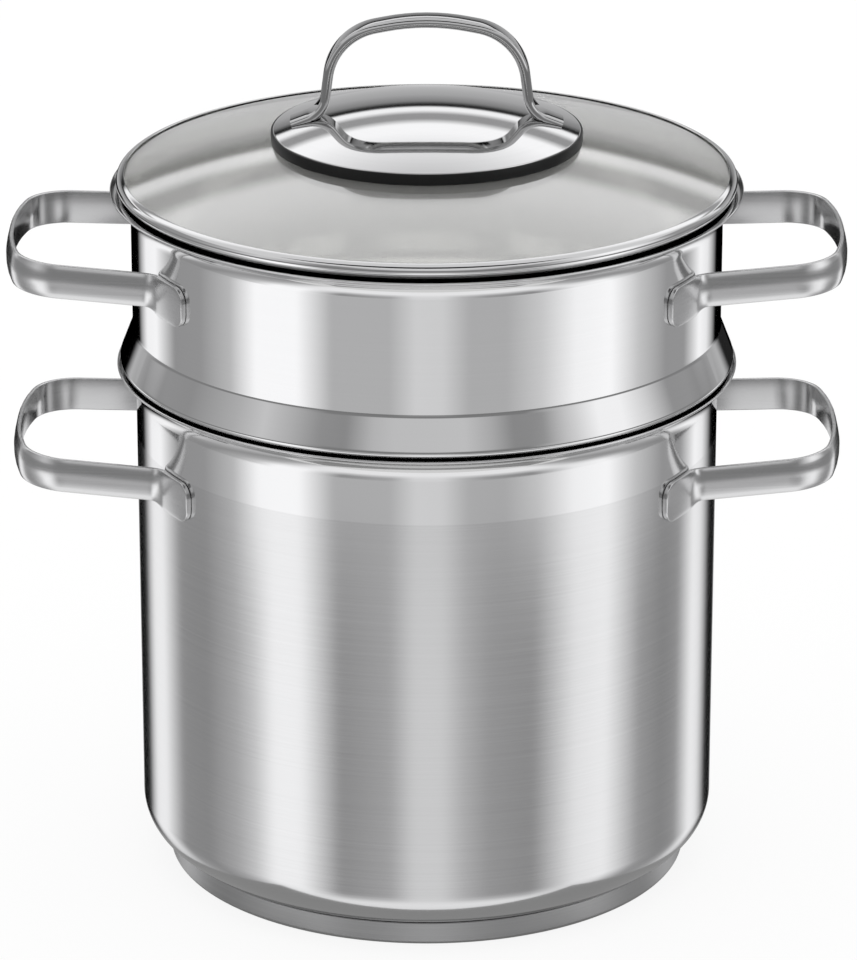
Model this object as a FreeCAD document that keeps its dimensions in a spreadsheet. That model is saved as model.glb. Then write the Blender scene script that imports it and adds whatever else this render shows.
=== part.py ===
import FreeCAD, Part
import math
import os
import Sketcher

Vector = FreeCAD.Vector
Rotation = FreeCAD.Rotation
Placement = FreeCAD.Placement

doc = FreeCAD.newDocument("PastaPot")

# Driving sizes, in millimetres and degrees. Heights count up from the table the pot stands on.
sizes = {
    # sandwich base
    "cap_radius": 109.8,
    "cap_sheet": 0.8,
    "cap_corner": 2.0,
    "cap_lip_clearance": 0.25,
    "core_thickness": 8.6,
    "core_clearance": 0.2,
    # pot
    "pot_radius": 121.0,
    "pot_sheet": 1.0,
    "pot_corner": 17.0,
    "pot_height": 218.4,
    "pot_rim_radius": 128.8,
    "pot_rim_slope": 21.0,
    "pot_rim_bend": 11.8,
    # insert: basket, seat, lip, shoulder and collar
    "insert_sheet": 0.8,
    "basket_radius": 118.8,
    "basket_depth": 190.0,
    "basket_corner": 14.0,
    "seat_angle": 45.0,
    "seat_bend": 7.0,
    "seat_clearance": 0.2,
    "lip_radius": 127.8,
    "lip_bend": 2.6,
    "collar_radius": 122.0,
    "shoulder_height": 14.7,
    "shoulder_bend": 4.0,
    "collar_height": 57.8,
    "collar_rim_radius": 130.4,
    "collar_rim_slope": 10.0,
    "collar_rim_bend": 10.0,
    # perforations of the basket
    "hole_radius": 3.0,
    "wall_hole_start": 30.0,
    "wall_hole_pitch": 28.0,
    "floor_hole_pitch": 24.0,
    "hole_overrun": 1.0,
    # lid: steel band and glass
    "lid_edge_radius": 124.9,
    "lid_edge_slope": 16.8,
    "band_half": 2.9,
    "band_round": 2.7,
    "band_sheet": 0.6,
    "band_lip_radius": 124.5,
    "lid_seat_angle": 38.3,
    "skirt_radius": 120.6,
    "skirt_bend": 3.0,
    "skirt_length": 5.0,
    "glass_dome": 432.0,
    "glass_thickness": 4.0,
    "glass_edge_round": 1.9,
    "glass_hole_radius": 4.0,
    # plate, gasket and what holds them to the glass
    "plate_radius": 63.2,
    "plate_dome": 200.0,
    "plate_sheet": 1.0,
    "plate_edge_rise": 4.7,
    "gasket_radius": 64.0,
    "gasket_bore_radius": 24.0,
    "gasket_clearance": 0.1,
    "gasket_lip_drop": 0.3,
    "boss_radius": 6.0,
    "boss_clearance": 0.3,
    "screw_radius": 2.5,
    "screw_reach": 6.0,
    "thread_runout": 1.0,
    "screw_head_radius": 5.0,
    "screw_head_height": 2.8,
    "washer_radius": 9.0,
    "washer_thickness": 1.0,
    "seal_radius": 11.0,
    "seal_thickness": 1.5,
    "bore_clearance": 0.2,
    # bow on the plate
    "bow_width": 12.5,
    "bow_thickness": 4.0,
    "bow_edge": 1.4,
    "bow_height": 40.4,
    "bow_crown_bend": 90.0,
    "bow_crown_slope": 11.0,
    "bow_shoulder_x": 39.85,
    "bow_shoulder_bend": 26.0,
    "bow_foot_x": 44.1,
    "bow_foot_thickness": 3.5,
    "bow_foot_bend": 9.0,
    "bow_tip_x": 56.0,
    "bow_tip_thickness": 2.0,
    "weld_clearance": 0.15,
    # strap handles
    "strap_height": 14.2,
    "strap_thickness": 2.8,
    "strap_crown": 1.5,
    "strap_reach": 51.2,
    "strap_flat": 19.0,
    "strap_crown_bend": 120.0,
    "strap_setback": 7.0,
    "strap_half_span": 49.3,
    "strap_corner": 22.0,
    "strap_foot_half_span": 55.3,
    "strap_foot_inset": 12.9,
    "strap_foot_bend": 4.0,
    "strap_foot_angle": 60.0,
    "strap_foot_length": 15.0,
    "strap_rise": 3.5,
    "pad_length": 22.0,
    "pad_height": 17.0,
    "pad_corner": 6.0,
    "pad_thickness": 2.2,
    "pad_azimuth": 32.6,
    "pad_drop": 1.9,
    "pot_handle_height": 182.4,
    "insert_handle_height": 266.1,
}
same_length = 1e-6
wall_hole_count = 24
wall_hole_rows = 5
floor_hole_rings = (6, 12, 18)

# Places that follow from the sizes. A seat angle is where a cone lies on the curl of the rim below it.
places = {
    "floor_height": "Sizes.cap_sheet + Sizes.core_thickness",
    "cap_top": "floor_height + Sizes.pot_corner - Sizes.cap_lip_clearance"
               " - sqrt(Sizes.pot_corner ^ 2"
               " - (Sizes.cap_radius - Sizes.cap_sheet - Sizes.pot_radius + Sizes.pot_corner) ^ 2)",
    "core_radius": "Sizes.cap_radius - Sizes.cap_sheet - Sizes.core_clearance",
    "pot_bend_height": "Sizes.pot_height"
                       " - (Sizes.pot_rim_radius - Sizes.pot_radius) * tan(Sizes.pot_rim_slope)",
    "pot_curl_x": "Sizes.pot_radius + Sizes.pot_rim_bend",
    "pot_curl_z": "pot_bend_height - Sizes.pot_rim_bend * tan(45 - Sizes.pot_rim_slope / 2)",
    "seat_offset": "Sizes.pot_rim_bend + Sizes.pot_sheet + Sizes.seat_clearance",
    "basket_bend_height": "pot_curl_z + (seat_offset - (pot_curl_x - Sizes.basket_radius)"
                          " * cos(Sizes.seat_angle)) / sin(Sizes.seat_angle)",
    "basket_floor": "basket_bend_height - Sizes.basket_depth",
    "lip_height": "pot_curl_z + (seat_offset - (pot_curl_x - Sizes.lip_radius)"
                  " * cos(Sizes.seat_angle)) / sin(Sizes.seat_angle)",
    "crease_height": "lip_height + Sizes.shoulder_height",
    "collar_top": "crease_height + Sizes.collar_height",
    "collar_bend_height": "collar_top - (Sizes.collar_rim_radius - Sizes.collar_radius)"
                          " * tan(Sizes.collar_rim_slope)",
    "collar_curl_x": "Sizes.collar_radius + Sizes.collar_rim_bend",
    "collar_curl_z": "collar_bend_height"
                     " - Sizes.collar_rim_bend * tan(45 - Sizes.collar_rim_slope / 2)",
    "lid_offset": "Sizes.collar_rim_bend + Sizes.insert_sheet + Sizes.seat_clearance",
    "lid_edge_z": "collar_curl_z + (Sizes.band_half + lid_offset"
                  " - (collar_curl_x - Sizes.lid_edge_radius)"
                  " * cos(Sizes.lid_seat_angle)) / sin(Sizes.lid_seat_angle)",
    "band_radius": "Sizes.lid_edge_radius + Sizes.band_half",
    "band_lip_height": "lid_edge_z + Sizes.band_half / cos(Sizes.lid_edge_slope)"
                       " + (Sizes.lid_edge_radius - Sizes.band_lip_radius)"
                       " * tan(Sizes.lid_edge_slope)",
    "band_top_height": "lid_edge_z + Sizes.band_half / cos(Sizes.lid_edge_slope)"
                       " - Sizes.band_half * tan(Sizes.lid_edge_slope)",
    "band_foot_height": "lid_edge_z - Sizes.band_half"
                        " * (1 - cos(Sizes.lid_seat_angle)) / sin(Sizes.lid_seat_angle)",
    "skirt_bend_height": "lid_edge_z - (Sizes.band_half"
                         " + (Sizes.lid_edge_radius - Sizes.skirt_radius)"
                         " * cos(Sizes.lid_seat_angle)) / sin(Sizes.lid_seat_angle)",
    "glass_middle": "Sizes.glass_dome - Sizes.glass_thickness / 2",
    "glass_centre": "lid_edge_z - sqrt(glass_middle ^ 2 - Sizes.lid_edge_radius ^ 2)",
    "glass_edge_radius": "(Sizes.lid_edge_radius + Sizes.glass_thickness / 2)"
                         " * Sizes.glass_dome / glass_middle",
    "glass_underside": "glass_centre + sqrt((Sizes.glass_dome - Sizes.glass_thickness) ^ 2"
                       " - Sizes.seal_radius ^ 2)",
    "plate_edge": "glass_centre + sqrt(Sizes.glass_dome ^ 2 - Sizes.plate_radius ^ 2)"
                  " + Sizes.plate_edge_rise",
    "plate_centre": "plate_edge - sqrt(Sizes.plate_dome ^ 2 - Sizes.plate_radius ^ 2)",
    "boss_bottom": "glass_centre + Sizes.glass_dome + Sizes.boss_clearance",
    "boss_height": "plate_centre + Sizes.plate_dome - Sizes.plate_sheet / 2 - boss_bottom",
    "gasket_seat": "Sizes.plate_radius + Sizes.gasket_clearance",
    "washer_top": "glass_underside - Sizes.seal_thickness",
    "screw_top": "boss_bottom + Sizes.screw_reach",
    "strap_line_x": "Sizes.strap_reach - Sizes.strap_thickness / 2",
    "strap_crown_radius": "Sizes.strap_crown / 2 + Sizes.strap_height ^ 2 / 8 / Sizes.strap_crown",
    "bow_crown_height": "plate_centre + Sizes.plate_dome + Sizes.bow_height",
    "bow_shoulder_height": "bow_crown_height - Sizes.bow_shoulder_x * tan(Sizes.bow_crown_slope)",
    "bow_foot_height": "plate_centre + sqrt(Sizes.plate_dome ^ 2 - Sizes.bow_foot_x ^ 2)"
                       " + Sizes.bow_foot_thickness",
    "bow_tip_height": "plate_centre + sqrt(Sizes.plate_dome ^ 2 - Sizes.bow_tip_x ^ 2)"
                      " + Sizes.bow_tip_thickness",
}


def fill_sheet(name, cells):
    sheet = doc.addObject("Spreadsheet::Sheet", name)
    for row, (alias, content) in enumerate(cells.items(), start=1):
        sheet.set(f"A{row}", alias)
        sheet.set(f"B{row}", content if isinstance(content, str) else str(content))
        sheet.setAlias(f"B{row}", alias)
    doc.recompute()
    return sheet


sizes_sheet = fill_sheet("Sizes", sizes)
fill_sheet("Places", {alias: "=" + formula for alias, formula in places.items()})

upright = Placement(Vector(0, 0, 0), Rotation(Vector(1, 0, 0), 90))
up = Vector(0, 0, 1)
nodes = []


def constrain(sketch, kind, *places_and_value, formula=None):
    index = sketch.addConstraint(Sketcher.Constraint(kind, *places_and_value))
    if formula:
        sketch.setExpression(f"Constraints[{index}]", formula)


def pin_point(sketch, geometry, end, across, along):
    constrain(sketch, "DistanceX", geometry, end, sketch.evalExpression(across), formula=across)
    constrain(sketch, "DistanceY", geometry, end, sketch.evalExpression(along), formula=along)


def bent_line(sketch, corners):
    # An open line through the corners; each corner is an (across, along, bend radius) of formulas,
    # and the two ends have no bend.
    points = [Vector(sketch.evalExpression(x), sketch.evalExpression(y), 0) for x, y, _ in corners]
    starts = [points[0]]
    arcs = []
    for before, corner, after, (_, _, bend) in zip(points, points[1:], points[2:], corners[1:]):
        inward = (corner - before).normalize()
        outward = (after - corner).normalize()
        radius = sketch.evalExpression(bend)
        turn = inward.getAngle(outward)
        reach = radius * math.tan(turn / 2)
        first = corner - inward * reach
        last = corner + outward * reach
        side = (outward - inward).normalize()
        middle = corner + side * (radius / math.cos(turn / 2) - radius)
        arcs.append((first, middle, last))
        starts += [first, last]
    starts.append(points[-1])
    lines = [sketch.addGeometry(Part.LineSegment(a, b)) for a, b in zip(starts[::2], starts[1::2])]
    for index, ((first, middle, last), corner) in enumerate(zip(arcs, points[1:])):
        x, y, bend = corners[index + 1]
        arc = sketch.addGeometry(Part.Arc(first, middle, last))
        start = sketch.getPoint(arc, 1)
        backwards = start.distanceToPoint(first) > start.distanceToPoint(last)
        entry, leave = (2, 1) if backwards else (1, 2)
        constrain(sketch, "Tangent", lines[index], 2, arc, entry)
        constrain(sketch, "Tangent", arc, leave, lines[index + 1], 1)
        constrain(sketch, "Radius", arc, sketch.evalExpression(bend), formula=bend)
        tip = sketch.addGeometry(Part.Point(corner), True)
        constrain(sketch, "PointOnObject", tip, 1, lines[index])
        constrain(sketch, "PointOnObject", tip, 1, lines[index + 1])
        pin_point(sketch, tip, 1, x, y)
    pin_point(sketch, lines[0], 1, corners[0][0], corners[0][1])
    pin_point(sketch, lines[-1], 2, corners[-1][0], corners[-1][1])


def dome_line(sketch, centre, radius, inner, outer):
    # An arc about a point on the axis, from the inner to the outer distance off the axis.
    middle = Vector(0, sketch.evalExpression(centre), 0)
    size = sketch.evalExpression(radius)
    low = math.acos(sketch.evalExpression(outer) / size)
    high = math.acos(sketch.evalExpression(inner) / size)
    arc = sketch.addGeometry(Part.ArcOfCircle(Part.Circle(middle, up, size), low, high))
    pin_point(sketch, arc, 3, "0", centre)
    constrain(sketch, "Radius", arc, size, formula=radius)
    constrain(sketch, "DistanceX", arc, 1, sketch.evalExpression(outer), formula=outer)
    constrain(sketch, "DistanceX", arc, 2, sketch.evalExpression(inner), formula=inner)
    return arc


def revolved_sheet(name, draw, thickness):
    # Sheet metal: the line that is drawn is its outer face, and the sheet lies on its left.
    sketch = doc.addObject("Sketcher::SketchObject", name + "_line")
    sketch.Placement = upright
    draw(sketch)
    section = doc.addObject("Part::Offset2D", name + "_section")
    section.Source = sketch
    section.Mode = "Skin"
    section.Fill = True
    section.setExpression("Value", thickness)
    turned = doc.addObject("Part::Revolution", name + "_turned")
    turned.Source = section
    turned.Axis = up
    turned.Solid = True
    doc.recompute()
    return turned


def cylinder(name, radius, height, base):
    part = doc.addObject("Part::Cylinder", name)
    part.setExpression("Radius", radius)
    part.setExpression("Height", height)
    part.setExpression("Placement.Base.z", base)
    return part


def ball(name, radius, centre):
    part = doc.addObject("Part::Sphere", name)
    part.setExpression("Radius", radius)
    part.setExpression("Placement.Base.z", centre)
    return part


def cut(name, base, tool):
    part = doc.addObject("Part::Cut", name)
    part.Base = base
    part.Tool = tool
    return part


def rounded(name, base, radius, wanted):
    body = doc.addObject("PartDesign::Body", name)
    body.BaseFeature = base
    doc.recompute()
    edges = [f"Edge{index}" for index, edge in enumerate(body.Shape.Edges, start=1) if wanted(edge)]
    blank = body.Tip
    rounding = body.newObject("PartDesign::Fillet", name + "_rounding")
    rounding.Base = (blank, edges)
    rounding.setExpression("Radius", radius)
    return body


def is_ring(edge):
    return len(edge.Vertexes) == 1


def node(part, label):
    part.Label = label
    nodes.append(part)
    return part


def plane_of(body, role):
    return next(item for item in body.Origin.OriginFeatures if item.Role == role)


def sketch_on(body, role, name):
    sketch = body.newObject("Sketcher::SketchObject", name)
    sketch.AttachmentSupport = (plane_of(body, role), [""])
    sketch.MapMode = "FlatFace"
    return sketch


def base_plate():
    disc = cylinder("core_disc", "Places.core_radius", "Sizes.core_thickness", "0")
    doc.recompute()
    core = rounded("core", disc, "Sizes.cap_corner",
                   lambda edge: is_ring(edge) and edge.CenterOfMass.z < disc.Shape.CenterOfMass.z)
    core.setExpression("Placement.Base.z", "Sizes.cap_sheet")
    node(core, "base_core")
    cap = revolved_sheet("cap", lambda sketch: bent_line(sketch, [
        ("0", "0", None),
        ("Sizes.cap_radius", "0", "Sizes.cap_corner"),
        ("Sizes.cap_radius", "Places.cap_top", None),
    ]), "Sizes.cap_sheet")
    node(cap, "base_cap")


def pot():
    body = revolved_sheet("pot", lambda sketch: bent_line(sketch, [
        ("0", "Places.floor_height", None),
        ("Sizes.pot_radius", "Places.floor_height", "Sizes.pot_corner"),
        ("Sizes.pot_radius", "Places.pot_bend_height", "Sizes.pot_rim_bend"),
        ("Sizes.pot_rim_radius", "Sizes.pot_height", None),
    ]), "Sizes.pot_sheet")
    node(body, "pot_body")


def perforate(body, name, role, draw, depth, count):
    sketch = sketch_on(body, role, name + "_sketch")
    draw(sketch)
    before = body.Shape.Volume
    holes = body.newObject("PartDesign::Pocket", name)
    holes.Profile = sketch
    holes.Type = "Length"
    holes.setExpression("Length", depth)
    holes.Reversed = True
    doc.recompute()
    if body.Shape.Volume >= before:
        raise RuntimeError(name + " cuts nothing")
    ring = body.newObject("PartDesign::PolarPattern", name + "_ring")
    ring.Originals = [holes]
    ring.Axis = (next(item for item in body.Origin.OriginFeatures if item.Role == "Z_Axis"), [""])
    ring.Angle = 360
    ring.Occurrences = count
    body.Tip = ring
    doc.recompute()


def round_hole(sketch, across, along):
    hole = sketch.addGeometry(Part.Circle(Vector(sketch.evalExpression(across),
                                                 sketch.evalExpression(along), 0),
                                          up, sizes_sheet.hole_radius))
    constrain(sketch, "Radius", hole, sizes_sheet.hole_radius, formula="Sizes.hole_radius")
    pin_point(sketch, hole, 3, across, along)


def insert():
    blank = revolved_sheet("insert", lambda sketch: bent_line(sketch, [
        ("0", "Places.basket_floor", None),
        ("Sizes.basket_radius", "Places.basket_floor", "Sizes.basket_corner"),
        ("Sizes.basket_radius", "Places.basket_bend_height", "Sizes.seat_bend"),
        ("Sizes.lip_radius", "Places.lip_height", "Sizes.lip_bend"),
        ("Sizes.collar_radius", "Places.crease_height", "Sizes.shoulder_bend"),
        ("Sizes.collar_radius", "Places.collar_bend_height", "Sizes.collar_rim_bend"),
        ("Sizes.collar_rim_radius", "Places.collar_top", None),
    ]), "Sizes.insert_sheet")
    body = doc.addObject("PartDesign::Body", "insert_sieve")
    body.BaseFeature = blank
    doc.recompute()

    def wall_holes(sketch):
        for row in range(wall_hole_rows):
            round_hole(sketch, "0", "Places.basket_floor + Sizes.wall_hole_start"
                                    f" + Sizes.wall_hole_pitch * {row}")

    perforate(body, "wall_holes", "XZ_Plane", wall_holes, "Sizes.basket_radius + Sizes.hole_overrun",
              wall_hole_count)
    depth = "Places.basket_floor + Sizes.insert_sheet + Sizes.hole_overrun"
    for ring, count in enumerate(floor_hole_rings, start=1):
        perforate(body, f"floor_holes_{ring}", "XY_Plane",
                  lambda sketch: round_hole(sketch, f"Sizes.floor_hole_pitch * {ring}", "0"),
                  depth, count)
    node(body, "insert_body")


def lid():
    band = revolved_sheet("band", lambda sketch: bent_line(sketch, [
        ("Sizes.skirt_radius", "Places.skirt_bend_height - Sizes.skirt_length", None),
        ("Sizes.skirt_radius", "Places.skirt_bend_height", "Sizes.skirt_bend"),
        ("Places.band_radius", "Places.band_foot_height", "Sizes.band_round"),
        ("Places.band_radius", "Places.band_top_height", "Sizes.band_round"),
        ("Sizes.band_lip_radius", "Places.band_lip_height", None),
    ]), "Sizes.band_sheet")
    node(band, "lid_rim")
    pane = revolved_sheet("pane", lambda sketch: dome_line(
        sketch, "Places.glass_centre", "Sizes.glass_dome",
        "Sizes.glass_hole_radius", "Places.glass_edge_radius"), "Sizes.glass_thickness")
    node(rounded("pane_body", pane, "Sizes.glass_edge_round",
                 lambda edge: is_ring(edge) and edge.Curve.Radius > sizes_sheet.skirt_radius),
         "lid_glass")


def plate_and_fixing():
    disc = revolved_sheet("plate", lambda sketch: dome_line(
        sketch, "Places.plate_centre", "Sizes.plate_dome", "0", "Sizes.plate_radius"),
        "Sizes.plate_sheet")
    boss = cylinder("boss", "Sizes.boss_radius", "Places.boss_height", "Places.boss_bottom")
    thread = cylinder("thread", "Sizes.screw_radius + Sizes.bore_clearance",
                      "Sizes.screw_reach + Sizes.thread_runout", "Places.boss_bottom")
    joined = doc.addObject("Part::Fuse", "plate_with_boss")
    joined.Base = disc
    joined.Tool = boss
    node(cut("plate_drilled", joined, thread), "lid_plate")

    gasket = doc.addObject("PartDesign::Body", "gasket")
    sketch = sketch_on(gasket, "XZ_Plane", "gasket_section")
    low = dome_line(sketch, "Places.glass_centre", "Sizes.glass_dome + Sizes.gasket_clearance",
                    "Sizes.gasket_bore_radius", "Sizes.gasket_radius")
    high = dome_line(sketch, "Places.plate_centre",
                     "Sizes.plate_dome - Sizes.plate_sheet - Sizes.gasket_clearance",
                     "Sizes.gasket_bore_radius", "Places.gasket_seat")
    rim = "Places.plate_edge - Sizes.gasket_lip_drop"
    inner_foot = sketch.getPoint(high, 1)
    inner_top = Vector(inner_foot.x, sketch.evalExpression(rim), 0)
    outer_foot = sketch.getPoint(low, 1)
    outer_top = Vector(outer_foot.x, inner_top.y, 0)
    outside = sketch.addGeometry(Part.LineSegment(outer_foot, outer_top))
    lip = sketch.addGeometry(Part.LineSegment(outer_top, inner_top))
    inside = sketch.addGeometry(Part.LineSegment(inner_top, inner_foot))
    bore = sketch.addGeometry(Part.LineSegment(sketch.getPoint(high, 2), sketch.getPoint(low, 2)))
    constrain(sketch, "Coincident", low, 1, outside, 1)
    constrain(sketch, "Coincident", outside, 2, lip, 1)
    constrain(sketch, "Coincident", lip, 2, inside, 1)
    constrain(sketch, "Coincident", inside, 2, high, 1)
    constrain(sketch, "Coincident", high, 2, bore, 1)
    constrain(sketch, "Coincident", bore, 2, low, 2)
    constrain(sketch, "Vertical", outside)
    constrain(sketch, "Vertical", inside)
    constrain(sketch, "Horizontal", lip)
    constrain(sketch, "DistanceY", lip, 1, inner_top.y, formula=rim)
    ring = gasket.newObject("PartDesign::Revolution", "gasket_ring")
    ring.Profile = sketch
    ring.ReferenceAxis = (sketch, ["V_Axis"])
    ring.Angle = 360
    node(gasket, "plate_gasket")

    hole = "Sizes.screw_radius + Sizes.bore_clearance"
    seal = cut("seal_ring",
               cylinder("seal_disc", "Sizes.seal_radius", "Sizes.seal_thickness", "Places.washer_top"),
               cylinder("seal_hole", hole, "Sizes.seal_thickness", "Places.washer_top"))
    node(seal, "inner_seal")
    washer_bottom = "Places.washer_top - Sizes.washer_thickness"
    washer = cut("washer_ring",
                 cylinder("washer_disc", "Sizes.washer_radius", "Sizes.washer_thickness", washer_bottom),
                 cylinder("washer_hole", hole, "Sizes.washer_thickness", washer_bottom))
    node(washer, "screw_washer")
    head = cylinder("screw_head", "Sizes.screw_head_radius", "Sizes.screw_head_height",
                    washer_bottom + " - Sizes.screw_head_height")
    shank = cylinder("screw_shank", "Sizes.screw_radius",
                     "Places.screw_top - Places.washer_top + Sizes.washer_thickness", washer_bottom)
    screw = doc.addObject("Part::Fuse", "screw")
    screw.Base = head
    screw.Tool = shank
    node(screw, "lid_screw")


def bow():
    sketch = doc.addObject("Sketcher::SketchObject", "bow_line")
    sketch.Placement = upright
    right = [
        ("Sizes.bow_tip_x", "Places.bow_tip_height", None),
        ("Sizes.bow_foot_x", "Places.bow_foot_height", "Sizes.bow_foot_bend"),
        ("Sizes.bow_shoulder_x", "Places.bow_shoulder_height", "Sizes.bow_shoulder_bend"),
    ]
    left = [("-" + x, y, bend) for x, y, bend in reversed(right)]
    bent_line(sketch, right + [("0", "Places.bow_crown_height", "Sizes.bow_crown_bend")] + left)
    section = doc.addObject("Part::Offset2D", "bow_section")
    section.Source = sketch
    section.Mode = "Skin"
    section.Fill = True
    section.setExpression("Value", "Sizes.bow_thickness")
    bar = doc.addObject("Part::Extrusion", "bow_bar")
    bar.Base = section
    bar.DirMode = "Custom"
    bar.Dir = Vector(0, 1, 0)
    bar.Solid = True
    bar.Symmetric = True
    bar.setExpression("LengthFwd", "Sizes.bow_width")
    side = sizes_sheet.bow_width / 2
    body = rounded("bow_body", bar, "Sizes.bow_edge", lambda edge: (
        abs(abs(edge.CenterOfMass.y) - side) < same_length
        and abs(edge.Length - sizes_sheet.bow_thickness) > same_length))
    seat = ball("bow_seat", "Sizes.plate_dome + Sizes.weld_clearance", "Places.plate_centre")
    node(cut("bow_seated", body, seat), "lid_handle")


def strap_section(sketch):
    # Flat inside and crowned outside; the strap's centre line starts half its thickness from either.
    half = "Sizes.strap_height / 2"
    inner = "Places.strap_line_x - Sizes.strap_thickness / 2"
    corner = "Places.strap_line_x + Sizes.strap_thickness / 2 - Sizes.strap_crown"
    back = sketch.evalExpression(inner)
    low = Vector(sketch.evalExpression(corner), -sketch.evalExpression(half), 0)
    high = Vector(low.x, -low.y, 0)
    crown = sketch.addGeometry(Part.Arc(low, Vector(low.x + sizes_sheet.strap_crown, 0, 0), high))
    top = sketch.addGeometry(Part.LineSegment(high, Vector(back, high.y, 0)))
    inside = sketch.addGeometry(Part.LineSegment(Vector(back, high.y, 0), Vector(back, low.y, 0)))
    bottom = sketch.addGeometry(Part.LineSegment(Vector(back, low.y, 0), low))
    constrain(sketch, "Coincident", crown, 2, top, 1)
    constrain(sketch, "Coincident", top, 2, inside, 1)
    constrain(sketch, "Coincident", inside, 2, bottom, 1)
    constrain(sketch, "Coincident", bottom, 2, crown, 1)
    constrain(sketch, "Horizontal", top)
    constrain(sketch, "Horizontal", bottom)
    pin_point(sketch, inside, 1, inner, half)
    pin_point(sketch, inside, 2, inner, "-" + half)
    for end in (1, 2):
        constrain(sketch, "DistanceX", crown, end, low.x, formula=corner)
    constrain(sketch, "Radius", crown, sketch.evalExpression("Places.strap_crown_radius"),
              formula="Places.strap_crown_radius")


def strap(owner, wall, height):
    # Half of it follows the line, and the mirror gives the rest; lengths across count from the wall.
    body = doc.addObject("PartDesign::Body", owner + "_strap")
    line = sketch_on(body, "XY_Plane", owner + "_strap_line")
    bent_line(line, [
        ("Places.strap_line_x", "0", None),
        ("Places.strap_line_x", "Sizes.strap_flat", "Sizes.strap_crown_bend"),
        ("Places.strap_line_x - Sizes.strap_setback", "Sizes.strap_half_span", "Sizes.strap_corner"),
        ("-Sizes.strap_foot_inset", "Sizes.strap_foot_half_span", "Sizes.strap_foot_bend"),
        ("-Sizes.strap_foot_inset - Sizes.strap_foot_length * cos(Sizes.strap_foot_angle)",
         "Sizes.strap_foot_half_span + Sizes.strap_foot_length * sin(Sizes.strap_foot_angle)", None),
    ])
    section = sketch_on(body, "XZ_Plane", owner + "_strap_section")
    strap_section(section)
    half = body.newObject("PartDesign::AdditivePipe", owner + "_strap_half")
    half.Profile = section
    doc.recompute()
    half.Spine = (line, [f"Edge{index}" for index in range(1, 1 + len(line.Shape.Edges))])
    doc.recompute()
    both = body.newObject("PartDesign::Mirrored", owner + "_strap_both")
    both.Originals = [half]
    both.MirrorPlane = (plane_of(body, "XZ_Plane"), [""])
    body.Tip = both
    body.Placement.Rotation = Rotation(Vector(0, -1, 0), sizes_sheet.strap_rise)
    body.setExpression("Placement.Rotation.Angle", "Sizes.strap_rise")
    body.setExpression("Placement.Base.x", wall)
    body.setExpression("Placement.Base.z", height)
    return body


def pad(owner, wall, height, side, azimuth):
    # A rounded tab of sheet that hugs the wall.
    name = owner + "_pad_" + side
    centre = height + " - Sizes.pad_drop"
    bar = doc.addObject("Part::Box", name + "_bar")
    bar.setExpression("Length", wall + " + Sizes.strap_reach")
    bar.setExpression("Width", "Sizes.pad_length")
    bar.setExpression("Height", "Sizes.pad_height")
    doc.recompute()
    blank = rounded(name + "_blank", bar, "Sizes.pad_corner", lambda edge: (
        abs(edge.Length - bar.Length.Value) < same_length))
    blank.setExpression("Placement.Base.y", "-Sizes.pad_length / 2")
    blank.setExpression("Placement.Base.z", centre + " - Sizes.pad_height / 2")
    bottom = centre + " - Sizes.pad_height"
    hoop = cut(name + "_hoop",
               cylinder(name + "_outside", wall + " + Sizes.weld_clearance + Sizes.pad_thickness",
                        "Sizes.pad_height * 2", bottom),
               cylinder(name + "_inside", wall + " + Sizes.weld_clearance",
                        "Sizes.pad_height * 2", bottom))
    plate = doc.addObject("Part::Common", name)
    plate.Base = hoop
    plate.Tool = blank
    plate.Placement.Rotation = Rotation(up, sizes_sheet.pad_azimuth)
    plate.setExpression("Placement.Rotation.Angle", azimuth)
    return plate


def handles():
    for owner in ("pot", "insert"):
        wall = "Sizes.pot_radius" if owner == "pot" else "Sizes.collar_radius"
        height = f"Sizes.{owner}_handle_height"
        trimmed = cut(owner + "_strap_trimmed", strap(owner, wall, height),
                      cylinder(owner + "_wall", wall + " + Sizes.weld_clearance",
                               "Places.bow_crown_height", "0"))
        right = doc.addObject("Part::MultiFuse", owner + "_right")
        right.Shapes = [trimmed, pad(owner, wall, height, "front", "-Sizes.pad_azimuth"),
                        pad(owner, wall, height, "back", "Sizes.pad_azimuth")]
        left = doc.addObject("Part::Mirroring", owner + "_left")
        left.Source = right
        left.Normal = Vector(1, 0, 0)
        node(right, owner + "_handle_right")
        node(left, owner + "_handle_left")


for build_group in (base_plate, pot, insert, lid, plate_and_fixing, bow, handles):
    build_group()
doc.recompute()

for item in doc.Objects:
    if {"Invalid", "Error"} & set(item.State):
        raise RuntimeError(f"{item.Label} is {item.State}")
    if item.isDerivedFrom("Part::Feature") and (item.Shape.isNull() or not item.Shape.isValid()):
        raise RuntimeError(item.Label + " has no valid shape")

os.makedirs("parts", exist_ok=True)
for part in nodes:
    if len(part.Shape.Solids) != 1:
        raise RuntimeError(f"{part.Label} is {len(part.Shape.Solids)} solids")
    part.Shape.exportStep(f"parts/{part.Label}.step")
    print(part.Label, round(part.Shape.Volume / 1000, 1), "cm3")
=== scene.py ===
import math

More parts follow.
